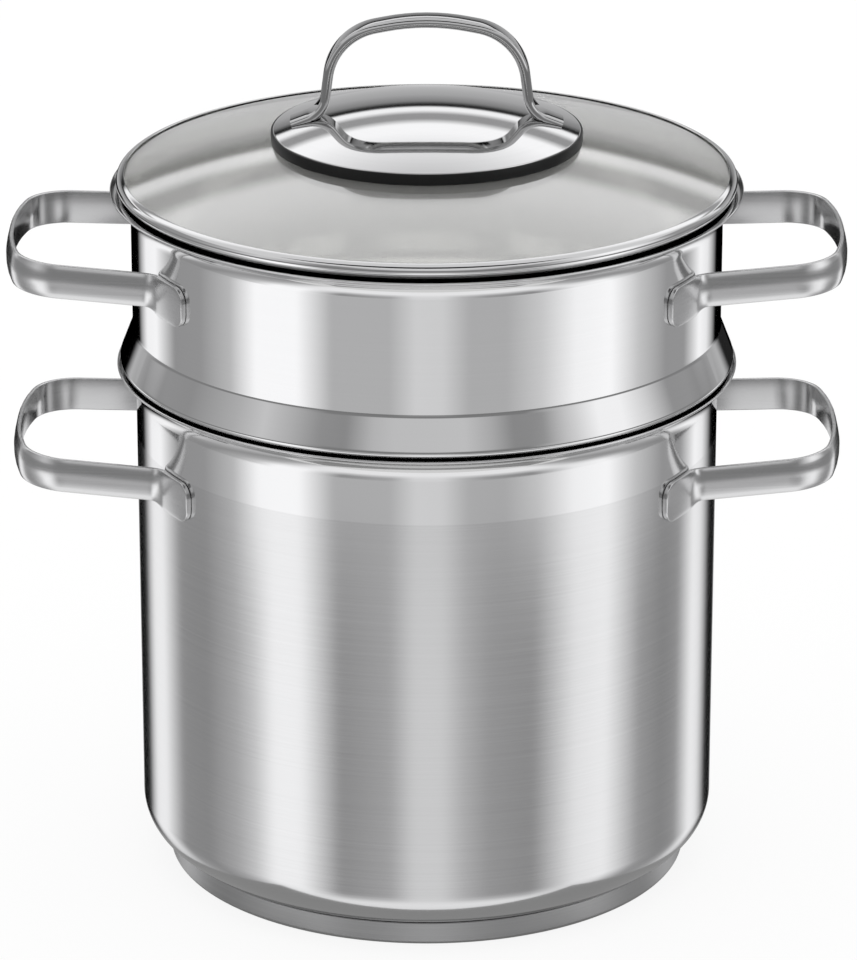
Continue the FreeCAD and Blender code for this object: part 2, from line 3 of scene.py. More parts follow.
import bmesh
import bpy
import numpy as np
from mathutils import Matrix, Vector


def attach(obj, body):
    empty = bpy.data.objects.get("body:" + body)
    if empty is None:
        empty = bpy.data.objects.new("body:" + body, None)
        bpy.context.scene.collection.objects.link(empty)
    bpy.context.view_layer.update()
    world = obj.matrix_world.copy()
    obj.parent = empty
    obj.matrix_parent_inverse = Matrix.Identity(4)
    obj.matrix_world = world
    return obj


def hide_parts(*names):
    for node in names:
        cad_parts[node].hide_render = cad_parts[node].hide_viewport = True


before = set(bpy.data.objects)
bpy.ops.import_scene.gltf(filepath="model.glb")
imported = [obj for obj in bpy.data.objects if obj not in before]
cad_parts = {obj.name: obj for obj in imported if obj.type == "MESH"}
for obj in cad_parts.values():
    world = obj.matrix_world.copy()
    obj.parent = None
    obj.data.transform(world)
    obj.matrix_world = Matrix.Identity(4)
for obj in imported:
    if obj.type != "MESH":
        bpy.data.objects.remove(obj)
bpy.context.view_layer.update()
print("frame loaded:", len(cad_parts), "nodes")

mm = 0.001
fullTurn = 2 * math.pi


def leftOf(heading):
    return Vector((-math.sin(heading), math.cos(heading)))


def ahead(heading):
    return Vector((math.cos(heading), math.sin(heading)))


def bentLine(corners, turnStep=5, support=0.6):
    # Corners are (across, up, bend radius) in mm. Gives (point, heading) pairs along the bent line.
    points = [Vector(corner[:2]) for corner in corners]
    headings = [math.atan2(*(b - a).yx) for a, b in zip(points, points[1:])]
    stations = [(points[0], headings[0])]

    def runTo(point, heading):
        last = stations[-1][0]
        if (point - last).length > 4 * support:
            stations.append((last + ahead(heading) * support, heading))
            stations.append((point - ahead(heading) * support, heading))
        if (point - last).length > support / 10:
            stations.append((point, heading))

    for index in range(1, len(points) - 1):
        before, after = headings[index - 1], headings[index]
        turn = (after - before + math.pi) % fullTurn - math.pi
        bend = corners[index][2]
        reach = bend * math.tan(abs(turn) / 2)
        centre = points[index] - ahead(before) * reach + leftOf(before) * math.copysign(bend, turn)
        runTo(points[index] - ahead(before) * reach, before)
        steps = math.ceil(abs(math.degrees(turn)) / turnStep)
        for step in range(1, steps + 1):
            heading = before + turn * step / steps
            stations.append((centre - leftOf(heading) * math.copysign(bend, turn), heading))
    runTo(points[-1], headings[-1])
    return stations


def roundedEnd(point, heading, sheet, steps=6):
    # The half circle round a sheet's free end, from its outer to its inner face.
    middle = point + leftOf(heading) * sheet / 2
    turns = [math.pi * step / steps for step in range(1, steps)]
    return [middle + (ahead(heading) * math.sin(turn) - leftOf(heading) * math.cos(turn)) * sheet / 2
            for turn in turns]


def sheetSection(corners, sheet, freeStart=False, freeEnd=True):
    # The drawn line is the sheet's outer face, and the sheet lies on its left.
    stations = bentLine(corners)
    if freeEnd:
        point, heading = stations[-1]
        stations[-1] = (point - ahead(heading) * sheet / 2, heading)
    if freeStart:
        point, heading = stations[0]
        stations[0] = (point + ahead(heading) * sheet / 2, heading)
    outer = [point for point, heading in stations]
    inner = [point + leftOf(heading) * sheet for point, heading in stations]
    section = list(outer)
    if freeEnd:
        section += roundedEnd(*stations[-1], sheet)
    section += reversed(inner)
    if freeStart:
        point, heading = stations[0]
        section += roundedEnd(point + leftOf(heading) * sheet, heading + math.pi, sheet)
        section.append(outer[0])
    return section


def arcPoints(centre, radius, start, end, steps):
    # Points on a circle in the section, from one distance off the axis to another.
    sweep = np.linspace(math.asin(start / radius), math.asin(end / radius), steps)
    return [Vector((radius * math.sin(turn), centre + radius * math.cos(turn))) for turn in sweep]


def cornerRound(centre, radius, start, end, steps=6):
    turns = [math.radians(start + (end - start) * step / steps) for step in range(steps + 1)]
    return [Vector((centre[0] + radius * math.cos(turn), centre[1] + radius * math.sin(turn)))
            for turn in turns]


def meshObject(name, vertices, faces):
    mesh = bpy.data.meshes.new(name)
    mesh.from_pydata([tuple(vertex) for vertex in vertices], [], faces)
    mesh.update()
    piece = bpy.data.objects.new(name, mesh)
    bpy.context.scene.collection.objects.link(piece)
    return piece


class NodeTree:
    # Places nodes left to right and links them, for geometry and for shader trees alike.
    def __init__(self, tree):
        self.tree = tree
        self.column = 0

    def add(self, kind, inputs=None, **settings):
        node = self.tree.nodes.new(kind)
        node.location = (self.column * 190, 0)
        self.column += 1
        for key, value in settings.items():
            setattr(node, key, value)
        for key, value in (inputs or {}).items():
            socket = node.inputs[key]
            if isinstance(value, bpy.types.NodeSocket):
                self.tree.links.new(value, socket)
            else:
                socket.default_value = value
        return node

    def math(self, operation, first, second=0.0, third=0.0):
        return self.add("ShaderNodeMath", {0: first, 1: second, 2: third}, operation=operation).outputs[0]


def newGeometryTree(name, sockets):
    tree = bpy.data.node_groups.new(name, "GeometryNodeTree")
    tree.interface.new_socket(name="Geometry", in_out="OUTPUT", socket_type="NodeSocketGeometry")
    tree.interface.new_socket(name="Geometry", in_out="INPUT", socket_type="NodeSocketGeometry")
    for label, kind in sockets.items():
        tree.interface.new_socket(name=label, in_out="INPUT", socket_type="NodeSocket" + kind)
    maker = NodeTree(tree)
    return maker, maker.add("NodeGroupInput").outputs


def endGeometryTree(maker, geometry, finish, merge=2e-6):
    merged = maker.add("GeometryNodeMergeByDistance", {"Geometry": geometry, "Distance": merge})
    smooth = maker.add("GeometryNodeSetShadeSmooth", {"Geometry": merged.outputs[0]})
    real = maker.add("GeometryNodeRealizeInstances", {"Geometry": smooth.outputs[0]})
    painted = maker.add("GeometryNodeSetMaterial", {"Geometry": real.outputs[0], "Material": finish})
    maker.add("NodeGroupOutput", {"Geometry": painted.outputs[0]})
    return maker.tree


def grow(piece, tree, values):
    # Runs a geometry tree on the piece and gives the result as a plain mesh.
    modifier = piece.modifiers.new(tree.name, "NODES")
    modifier.node_group = tree
    for item in tree.interface.items_tree:
        if item.name in values:
            modifier[item.identifier] = values[item.name]
    graph = bpy.context.evaluated_depsgraph_get()
    mesh = bpy.data.meshes.new_from_object(piece.evaluated_get(graph))
    piece.modifiers.remove(modifier)
    bpy.data.objects.remove(piece)
    return mesh


def spinTree():
    # Turns a row of section points, stored as (radius, 0, height), round the Z axis.
    maker, given = newGeometryTree("spun sheet", {"Segments": "Int", "Finish": "Material"})
    size = maker.add("GeometryNodeAttributeDomainSize", {"Geometry": given["Geometry"]})
    count = size.outputs["Point Count"]
    columns = maker.math("ADD", given["Segments"], 1)
    grid = maker.add("GeometryNodeMeshGrid", {"Size X": 1.0, "Size Y": 1.0,
                                              "Vertices X": columns, "Vertices Y": count})
    place = maker.add("ShaderNodeSeparateXYZ", {0: maker.add("GeometryNodeInputPosition").outputs[0]})
    angle = maker.math("MULTIPLY", maker.math("ADD", place.outputs[0], 0.5), fullTurn)
    along = maker.math("MULTIPLY", maker.math("ADD", place.outputs[1], 0.5), maker.math("SUBTRACT", count, 1))
    sample = maker.add("GeometryNodeSampleIndex", {
        "Geometry": given["Geometry"],
        "Index": maker.math("ROUND", along),
    }, data_type="FLOAT_VECTOR")
    maker.tree.links.new(maker.add("GeometryNodeInputPosition").outputs[0], sample.inputs["Value"])
    point = maker.add("ShaderNodeSeparateXYZ", {0: sample.outputs[0]})
    turned = maker.add("ShaderNodeCombineXYZ", {
        0: maker.math("MULTIPLY", point.outputs[0], maker.math("COSINE", angle)),
        1: maker.math("MULTIPLY", point.outputs[0], maker.math("SINE", angle)),
        2: point.outputs[2],
    })
    moved = maker.add("GeometryNodeSetPosition", {"Geometry": grid.outputs[0], "Position": turned.outputs[0]})
    return endGeometryTree(maker, moved.outputs[0], given["Finish"])


spun = spinTree()


def spinMesh(name, section, finish, segments=240):
    row = meshObject(name + "Section", [(point[0] * mm, 0, point[1] * mm) for point in section], [])
    return grow(row, spun, {"Segments": segments, "Finish": finish})


def pointOutwards(mesh):
    mesh.calc_loop_triangles()
    count = len(mesh.loop_triangles)
    corners = np.empty(count * 3, np.int32)
    mesh.loop_triangles.foreach_get("vertices", corners)
    points = np.empty(len(mesh.vertices) * 3)
    mesh.vertices.foreach_get("co", points)
    a, b, c = points.reshape(-1, 3)[corners.reshape(-1, 3)].transpose(1, 0, 2)
    if np.einsum("ij,ij->i", a, np.cross(b, c)).sum() < 0:
        mesh.flip_normals()


def standIn(name, mesh, node, finish, sharpAngle=38):
    # Makes the mesh the visible piece for a CAD node.
    pointOutwards(mesh)
    mesh.shade_smooth()
    mesh.set_sharp_from_angle(angle=math.radians(sharpAngle))
    mesh.name = name
    mesh.materials.clear()
    mesh.materials.append(finish)
    piece = bpy.data.objects.new(name, mesh)
    bpy.context.scene.collection.objects.link(piece)
    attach(piece, "root")
    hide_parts(node)
    print("made", name, len(mesh.loop_triangles), "triangles")
    return piece


def joinMeshes(name, meshes, merge=4e-6):
    joined = bmesh.new()
    for mesh in meshes:
        joined.from_mesh(mesh)
    bmesh.ops.remove_doubles(joined, verts=joined.verts, dist=merge)
    bmesh.ops.recalc_face_normals(joined, faces=joined.faces)
    result = bpy.data.meshes.new(name)
    joined.to_mesh(result)
    joined.free()
    return result


def cleanMesh(name, vertices, faces):
    # A mesh with its doubles merged and its faces turned outwards.
    blank = meshObject(name + "Blank", vertices, faces)
    clean = joinMeshes(name, [blank.data])
    bpy.data.objects.remove(blank)
    return clean


grainLook = {"stretch": 4, "detail": 4.0, "fineRoughness": 0.62, "fineShare": 0.8, "cloudScale": 14.0,
             "cloudDetail": 2.0, "low": 0.3, "high": 0.7}


def grainGroup():
    # Fine lines left by turning or brushing: round the axis where Turned is 1, level where it is 0.
    tree = bpy.data.node_groups.new("steel grain", "ShaderNodeTree")
    for label, kind in {"Coordinates": "Vector", "Lines": "Float", "Turned": "Float", "Light": "Color",
                        "Dark": "Color", "Smooth": "Float", "Rough": "Float"}.items():
        tree.interface.new_socket(name=label, in_out="INPUT", socket_type="NodeSocket" + kind)
    for label, kind in {"Color": "Color", "Roughness": "Float", "Height": "Float"}.items():
        tree.interface.new_socket(name=label, in_out="OUTPUT", socket_type="NodeSocket" + kind)
    maker = NodeTree(tree)
    given = maker.add("NodeGroupInput").outputs
    place = maker.add("ShaderNodeSeparateXYZ", {0: given["Coordinates"]})
    x, y, z = place.outputs
    radius = maker.math("SQRT", maker.math("ADD", maker.math("MULTIPLY", x, x), maker.math("MULTIPLY", y, y)))
    across = maker.math("ADD", z, maker.math("MULTIPLY", radius, given["Turned"]))
    stretched = maker.add("ShaderNodeCombineXYZ", {
        0: maker.math("MULTIPLY", x, grainLook["stretch"]),
        1: maker.math("MULTIPLY", y, grainLook["stretch"]),
        2: maker.math("MULTIPLY", across, given["Lines"]),
    })
    fine = maker.add("ShaderNodeTexNoise", {"Vector": stretched.outputs[0], "Scale": 1.0,
                                            "Detail": grainLook["detail"],
                                            "Roughness": grainLook["fineRoughness"]})
    cloudy = maker.add("ShaderNodeTexNoise", {"Vector": given["Coordinates"],
                                              "Scale": grainLook["cloudScale"],
                                              "Detail": grainLook["cloudDetail"]})
    blend = maker.math("ADD", maker.math("MULTIPLY", fine.outputs[0], grainLook["fineShare"]),
                       maker.math("MULTIPLY", cloudy.outputs[0], 1 - grainLook["fineShare"]))
    spread = maker.add("ShaderNodeMapRange", {0: blend, 1: grainLook["low"], 2: grainLook["high"]}).outputs[0]
    color = maker.add("ShaderNodeMix", {0: spread, 6: given["Dark"], 7: given["Light"]}, data_type="RGBA")
    rough = maker.add("ShaderNodeMapRange", {0: spread, 3: given["Smooth"], 4: given["Rough"]})
    maker.add("NodeGroupOutput", {"Color": color.outputs[2], "Roughness": rough.outputs[0],
                                  "Height": fine.outputs[0]})
    return tree


grain = grainGroup()


def grey(level, blue=1.0):
    return (level, level, level * blue, 1)


def newMaterial(name):
    material = bpy.data.materials.new(name)
    material.use_nodes = True
    material.node_tree.nodes.clear()
    return material, NodeTree(material.node_tree)


def steelFinish(name, look):
    material, maker = newMaterial(name)
    place = maker.add("ShaderNodeTexCoord").outputs["Object"]
    lines = maker.add("ShaderNodeGroup", {}, node_tree=grain)
    for key in ("Lines", "Turned", "Smooth", "Rough"):
        lines.inputs[key].default_value = look[key.lower()]
    lines.inputs["Light"].default_value = look["light"]
    lines.inputs["Dark"].default_value = look["dark"]
    material.node_tree.links.new(place, lines.inputs["Coordinates"])
    color, roughness = lines.outputs["Color"], lines.outputs["Roughness"]
    if "polishedAbove" in look:
        height = maker.add("ShaderNodeSeparateXYZ", {0: place}).outputs[2]
        edge = look["polishedAbove"]
        mask = maker.add("ShaderNodeMapRange", {0: height, 1: edge - look["fade"], 2: edge + look["fade"]})
        color = maker.add("ShaderNodeMix", {0: mask.outputs[0], 6: color, 7: look["polishedColor"]},
                          data_type="RGBA").outputs[2]
        roughness = maker.add("ShaderNodeMix", {0: mask.outputs[0], 2: roughness,
                                                3: look["polishedRough"]}).outputs[0]
    bump = maker.add("ShaderNodeBump", {"Strength": look["relief"], "Distance": look["depth"],
                                        "Height": lines.outputs["Height"]})
    shader = maker.add("ShaderNodeBsdfPrincipled", {
        "Base Color": color, "Metallic": 1.0, "Roughness": roughness, "Normal": bump.outputs[0]})
    maker.add("ShaderNodeOutputMaterial", {"Surface": shader.outputs[0]})
    return material


# lines is how many fine lines a metre holds, and relief how strongly they show.
potLook = {
    "lines": 2600, "turned": 1.0, "light": grey(0.635), "dark": grey(0.595), "smooth": 0.12, "rough": 0.16,
    "relief": 0.1, "depth": 0.00002,
    "polishedAbove": 0.1892, "fade": 0.0003, "polishedColor": grey(0.66), "polishedRough": 0.09,
}
insertLook = {
    "lines": 2200, "turned": 1.0, "light": grey(0.675), "dark": grey(0.66), "smooth": 0.05, "rough": 0.07,
    "relief": 0.02, "depth": 0.00001,
}
baseLook = {
    "lines": 1700, "turned": 1.0, "light": grey(0.42), "dark": grey(0.36), "smooth": 0.34, "rough": 0.42,
    "relief": 0.2, "depth": 0.00003,
}
handleLook = {
    "lines": 1400, "turned": 0.0, "light": grey(0.66), "dark": grey(0.62), "smooth": 0.18, "rough": 0.24,
    "relief": 0.06, "depth": 0.00002,
}
lidLook = {
    "lines": 900, "turned": 1.0, "light": grey(0.7), "dark": grey(0.68), "smooth": 0.04, "rough": 0.06,
    "relief": 0.02, "depth": 0.00001,
}
bowLook = {
    "lines": 1200, "turned": 0.0, "light": grey(0.53), "dark": grey(0.49), "smooth": 0.03, "rough": 0.05,
    "relief": 0.02, "depth": 0.00001,
}
coreLook = {
    "lines": 600, "turned": 1.0, "light": grey(0.8), "dark": grey(0.7), "smooth": 0.4, "rough": 0.5,
    "relief": 0.2, "depth": 0.00004,
}

potSteel = steelFinish("potSteel", potLook)
insertSteel = steelFinish("insertSteel", insertLook)
baseSteel = steelFinish("baseSteel", baseLook)
handleSteel = steelFinish("handleSteel", handleLook)
lidSteel = steelFinish("lidSteel", lidLook)
bowSteel = steelFinish("bowSteel", bowLook)
coreAluminium = steelFinish("coreAluminium", coreLook)


def glassFinish(look):
    material, maker = newMaterial("lidGlass")
    place = maker.add("ShaderNodeTexCoord").outputs["Object"]
    haze = maker.add("ShaderNodeTexNoise", {"Vector": place, "Scale": look["hazeScale"],
                                            "Detail": look["hazeDetail"]}).outputs[0]
    color = maker.add("ShaderNodeMix", {0: haze, 6: look["clear"], 7: look["hazy"]}, data_type="RGBA")
    rough = maker.add("ShaderNodeMapRange", {0: haze, 3: look["smooth"], 4: look["rough"]}).outputs[0]
    glass = maker.add("ShaderNodeBsdfPrincipled", {
        "Base Color": color.outputs[2], "Roughness": rough, "IOR": look["ior"],
        "Transmission Weight": look["transmission"], "Coat Weight": look["coat"],
        "Coat IOR": look["coatIor"], "Coat Roughness": look["coatRough"]})
    through = maker.add("ShaderNodeBsdfTransparent", {"Color": look["shade"]})
    path = maker.add("ShaderNodeLightPath").outputs["Is Shadow Ray"]
    mixed = maker.add("ShaderNodeMixShader", {0: path, 1: glass.outputs[0], 2: through.outputs[0]})
    maker.add("ShaderNodeOutputMaterial", {"Surface": mixed.outputs[0]})
    return material


lidGlass = glassFinish({
    "clear": (0.95, 0.95, 0.92, 1), "hazy": (0.91, 0.91, 0.88, 1), "hazeScale": 18.0, "hazeDetail": 3.0,
    "smooth": 0.02, "rough": 0.05, "ior": 1.5, "transmission": 0.86,
    "coat": 1.0, "coatIor": 2.2, "coatRough": 0.08, "shade": grey(0.85),
})


def rubberFinish(look):
    material, maker = newMaterial("gasketRubber")
    place = maker.add("ShaderNodeTexCoord").outputs["Object"]
    speck = maker.add("ShaderNodeTexNoise", {"Vector": place, "Scale": look["speckScale"],
                                             "Detail": look["speckDetail"]}).outputs[0]
    color = maker.add("ShaderNodeMix", {0: speck, 6: look["dark"], 7: look["light"]}, data_type="RGBA")
    rough = maker.add("ShaderNodeMapRange", {0: speck, 3: look["smooth"], 4: look["rough"]}).outputs[0]
    bump = maker.add("ShaderNodeBump", {"Strength": look["relief"], "Distance": look["depth"],
                                        "Height": speck})
    shader = maker.add("ShaderNodeBsdfPrincipled", {"Base Color": color.outputs[2], "Roughness": rough,
                                                    "Specular IOR Level": look["gloss"],
                                                    "Normal": bump.outputs[0]})
    maker.add("ShaderNodeOutputMaterial", {"Surface": shader.outputs[0]})
    return material


gasketRubber = rubberFinish({
    "dark": grey(0.006), "light": grey(0.012), "smooth": 0.3, "rough": 0.42, "gloss": 0.2,
    "speckScale": 900.0, "speckDetail": 3.0, "relief": 0.2, "depth": 0.00003,
})
print("finishes made")


# Sizes of the pieces are in millimetres, with heights counted up from the table.
pot = {
    "floor": 9.4, "radius": 121, "corner": 17, "sheet": 1.0,
    "bendHeight": 215.406, "rimBend": 10.2, "rimRadius": 128.8, "top": 217.8,
    "capRadius": 109.8, "capCorner": 2, "capTop": 9.902, "capSheet": 0.8,
}

potSection = sheetSection([
    (0, pot["floor"]),
    (pot["radius"], pot["floor"], pot["corner"]),
    (pot["radius"], pot["bendHeight"], pot["rimBend"]),
    (pot["rimRadius"], pot["top"]),
], pot["sheet"])
standIn("potBody", spinMesh("potBody", potSection, potSteel), "pot_body", potSteel)

capSection = sheetSection([
    (0, 0),
    (pot["capRadius"], 0, pot["capCorner"]),
    (pot["capRadius"], pot["capTop"]),
], pot["capSheet"])
standIn("baseCap", spinMesh("baseCap", capSection, baseSteel), "base_cap", baseSteel)


insert = {
    "sheet": 0.8, "radius": 118.8, "floor": 21.681, "corner": 14, "bendHeight": 211.681, "seatBend": 7,
    "lipRadius": 127.8, "lipHeight": 220.681, "lipBend": 2.6,
    "collarRadius": 122, "creaseHeight": 235.381, "shoulderBend": 4,
    "rimBendHeight": 291.700, "rimBend": 8.8, "rimRadius": 130.4, "top": 292.6,
    "holeRadius": 3, "columns": 24, "rows": 5, "firstRow": 51.681, "rowPitch": 28,
    "floorRings": (6, 12, 18), "ringPitch": 24, "tileSteps": 12, "holeSides": 36, "holeCollar": 1.5,
    "rimShare": 0.99,
}
insertSegments = insert["columns"] * insert["tileSteps"]


def holeTile():
    # One square of wall with its round hole; across is in columns, the depth and the height in metres.
    side = insert["tileSteps"]
    count = side * 4
    square = []
    for corner, (dx, dz) in zip(((0.5, -0.5), (0.5, 0.5), (-0.5, 0.5), (-0.5, -0.5)),
                                ((0, 1), (-1, 0), (0, -1), (1, 0))):
        square += [(corner[0] + dx * step / side, corner[1] + dz * step / side) for step in range(side)]
    columnWidth = fullTurn * insert["radius"] / insert["columns"]
    rings = []
    for size in (1.0, insert["holeCollar"]):
        hole = []
        for step in range(count):
            turn = fullTurn * (step / count - 1 / 8)
            reach = insert["holeRadius"] * size
            hole.append((reach * math.cos(turn) / columnWidth, reach * math.sin(turn) * mm))
        rings.append(hole)
    rings.append([(x, z * insert["rowPitch"] * mm) for x, z in square])
    vertices = [(x, depth * mm, z) for depth in (0, -insert["sheet"]) for ring in rings for x, z in ring]
    faces = []
    layer = count * len(rings)
    for step in range(count):
        after = (step + 1) % count
        for ring in range(len(rings) - 1):
            a, b = ring * count + step, ring * count + after
            c, d = b + count, a + count
            faces.append((a, d, c, b))
            faces.append((a + layer, b + layer, c + layer, d + layer))
        faces.append((step, after, after + layer, step + layer))
    return meshObject("holeTile", vertices, faces)


def sieveWallTree():
    maker, given = newGeometryTree("sieve wall", {
        "Columns": "Int", "Rows": "Int", "Row Pitch": "Float", "Middle Height": "Float", "Radius": "Float",
        "Finish": "Material"})
    columnsLess = maker.math("SUBTRACT", given["Columns"], 1)
    rowsLess = maker.math("SUBTRACT", given["Rows"], 1)
    grid = maker.add("GeometryNodeMeshGrid", {
        "Size X": columnsLess, "Size Y": maker.math("MULTIPLY", rowsLess, given["Row Pitch"]),
        "Vertices X": given["Columns"], "Vertices Y": given["Rows"]})
    lift = maker.add("ShaderNodeCombineXYZ", {0: 0.5, 2: given["Middle Height"]})
    upright = maker.add("GeometryNodeTransform", {
        "Geometry": grid.outputs[0], "Translation": lift.outputs[0], "Rotation": (math.pi / 2, 0, 0)})
    tiles = maker.add("GeometryNodeInstanceOnPoints", {"Points": upright.outputs[0],
                                                       "Instance": given["Geometry"]})
    real = maker.add("GeometryNodeRealizeInstances", {"Geometry": tiles.outputs[0]})
    place = maker.add("ShaderNodeSeparateXYZ", {0: maker.add("GeometryNodeInputPosition").outputs[0]})
    angle = maker.math("DIVIDE", maker.math("MULTIPLY", place.outputs[0], fullTurn), given["Columns"])
    radius = maker.math("ADD", place.outputs[1], given["Radius"])
    wrapped = maker.add("ShaderNodeCombineXYZ", {
        0: maker.math("MULTIPLY", radius, maker.math("COSINE", angle)),
        1: maker.math("MULTIPLY", radius, maker.math("SINE", angle)),
        2: place.outputs[2],
    })
    moved = maker.add("GeometryNodeSetPosition", {"Geometry": real.outputs[0],
                                                  "Position": wrapped.outputs[0]})
    return endGeometryTree(maker, moved.outputs[0], given["Finish"])


def sieveFloorTree():
    # A disc with rings of holes. The geometry that comes in is only a seed, and nothing is read from it.
    maker, given = newGeometryTree("sieve floor", {
        "Radius": "Float", "Segments": "Int", "Ring Pitch": "Float", "Hole Radius": "Float",
        "Thickness": "Float", "Height": "Float", "Finish": "Material"})
    outline = maker.add("GeometryNodeCurvePrimitiveCircle", {"Resolution": given["Segments"],
                                                             "Radius": given["Radius"]})
    hole = maker.add("GeometryNodeCurvePrimitiveCircle", {"Resolution": insert["holeSides"],
                                                          "Radius": given["Hole Radius"]})
    curves = maker.add("GeometryNodeJoinGeometry", {"Geometry": outline.outputs[0]})
    for ring, count in enumerate(insert["floorRings"], start=1):
        circle = maker.add("GeometryNodeMeshCircle", {
            "Vertices": count, "Radius": maker.math("MULTIPLY", given["Ring Pitch"], ring)})
        holes = maker.add("GeometryNodeInstanceOnPoints", {"Points": circle.outputs[0],
                                                           "Instance": hole.outputs[0]})
        maker.tree.links.new(holes.outputs[0], curves.inputs[0])
    flat = maker.add("GeometryNodeRealizeInstances", {"Geometry": curves.outputs[0]})
    filled = maker.add("GeometryNodeFillCurve", {"Curve": flat.outputs[0]})
    upward = maker.add("ShaderNodeCombineXYZ", {2: 1.0})
    raised = maker.add("GeometryNodeExtrudeMesh", {
        "Mesh": filled.outputs[0], "Offset": upward.outputs[0], "Offset Scale": given["Thickness"],
        "Individual": False})
    place = maker.add("ShaderNodeSeparateXYZ", {0: maker.add("GeometryNodeInputPosition").outputs[0]})
    reach = maker.math("SQRT", maker.math("ADD", maker.math("MULTIPLY", place.outputs[0], place.outputs[0]),
                                          maker.math("MULTIPLY", place.outputs[1], place.outputs[1])))
    outside = maker.math("GREATER_THAN", reach, maker.math("MULTIPLY", given["Radius"], insert["rimShare"]))
    rimFaces = maker.add("FunctionNodeBooleanMath", {0: raised.outputs["Side"], 1: outside})
    trimmed = maker.add("GeometryNodeDeleteGeometry", {"Geometry": raised.outputs[0],
                                                       "Selection": rimFaces.outputs[0]}, domain="FACE")
    under = maker.add("GeometryNodeFlipFaces", {"Mesh": filled.outputs[0]})
    both = maker.add("GeometryNodeJoinGeometry", {"Geometry": trimmed.outputs[0]})
    maker.tree.links.new(under.outputs[0], both.inputs[0])
    lift = maker.add("ShaderNodeCombineXYZ", {2: given["Height"]})
    lifted = maker.add("GeometryNodeTransform", {"Geometry": both.outputs[0], "Translation": lift.outputs[0]})
    return endGeometryTree(maker, lifted.outputs[0], given["Finish"])


def insertMesh():
    rowsTop = insert["firstRow"] + (insert["rows"] - 0.5) * insert["rowPitch"]
    rowsBottom = insert["firstRow"] - insert["rowPitch"] / 2
    wall = grow(holeTile(), sieveWallTree(), {
        "Columns": insert["columns"], "Rows": insert["rows"], "Row Pitch": insert["rowPitch"] * mm,
        "Middle Height": (rowsTop + rowsBottom) / 2 * mm, "Radius": insert["radius"] * mm,
        "Finish": insertSteel})
    flatRadius = insert["radius"] - insert["corner"]
    sieveFloor = grow(meshObject("floorSeed", [(0, 0, 0)], []), sieveFloorTree(), {
        "Radius": flatRadius * mm, "Segments": insertSegments, "Ring Pitch": insert["ringPitch"] * mm,
        "Hole Radius": insert["holeRadius"] * mm, "Thickness": insert["sheet"] * mm,
        "Height": insert["floor"] * mm, "Finish": insertSteel})
    corner = bentLine([(flatRadius, insert["floor"]), (insert["radius"], insert["floor"], insert["corner"]),
                       (insert["radius"], rowsBottom)])
    lowOuter = [point for point, heading in corner]
    lowInner = [point + leftOf(heading) * insert["sheet"] for point, heading in corner]
    upper = sheetSection([
        (insert["radius"], rowsTop),
        (insert["radius"], insert["bendHeight"], insert["seatBend"]),
        (insert["lipRadius"], insert["lipHeight"], insert["lipBend"]),
        (insert["collarRadius"], insert["creaseHeight"], insert["shoulderBend"]),
        (insert["collarRadius"], insert["rimBendHeight"], insert["rimBend"]),
        (insert["rimRadius"], insert["top"]),
    ], insert["sheet"])
    rings = [spinMesh(name, section, insertSteel, insertSegments)
             for name, section in (("lowOuter", lowOuter), ("lowInner", lowInner), ("upper", upper))]
    return joinMeshes("insertBody", [wall, sieveFloor] + rings)


standIn("insertBody", insertMesh(), "insert_body", insertSteel)


lid = {
    "skirtRadius": 120.6, "skirtFoot": 281.622, "skirtTop": 286.622, "skirtBend": 3,
    "bandRadius": 127.8, "bandFoot": 295.739, "bandTop": 298.900, "bandRound": 2.7, "bandSheet": 0.6,
    "lipRadius": 124.5, "lipHeight": 299.896, "segments": 288,
    "glassCentre": -114.715, "glassDome": 432, "glassThickness": 4, "glassHole": 4, "glassEdge": 124.9,
    "glassRound": 1.9, "edgeHeight": 296.746, "domeSteps": 40, "edgeSteps": 12,
}

bandSection = sheetSection([
    (lid["skirtRadius"], lid["skirtFoot"]),
    (lid["skirtRadius"], lid["skirtTop"], lid["skirtBend"]),
    (lid["bandRadius"], lid["bandFoot"], lid["bandRound"]),
    (lid["bandRadius"], lid["bandTop"], lid["bandRound"]),
    (lid["lipRadius"], lid["lipHeight"]),
], lid["bandSheet"], freeStart=True)
bandMesh = spinMesh("lidBand", bandSection, lidSteel, lid["segments"])
standIn("lidBand", bandMesh, "lid_rim", lidSteel)


def glassSection():
    under = lid["glassDome"] - lid["glassThickness"]
    slope = math.asin(lid["glassEdge"] / (lid["glassDome"] - lid["glassThickness"] / 2))
    topRow = arcPoints(lid["glassCentre"], lid["glassDome"], lid["glassHole"],
                       lid["glassDome"] * math.sin(slope), lid["domeSteps"])
    underRow = arcPoints(lid["glassCentre"], under, lid["glassHole"], under * math.sin(slope),
                         lid["domeSteps"])
    middle = Vector((lid["glassEdge"], lid["edgeHeight"]))
    outward = Vector((math.cos(slope), -math.sin(slope)))
    across = Vector((math.sin(slope), math.cos(slope)))
    edge = []
    for step in range(1, lid["edgeSteps"]):
        turn = math.pi * step / lid["edgeSteps"]
        edge.append(middle + outward * lid["glassRound"] * math.sin(turn)
                    + across * lid["glassThickness"] / 2 * math.cos(turn))
    return topRow + edge + list(reversed(underRow)) + [topRow[0]]


paneMesh = spinMesh("lidPane", glassSection(), lidGlass, lid["segments"])
standIn("lidPane", paneMesh, "lid_glass", lidGlass)

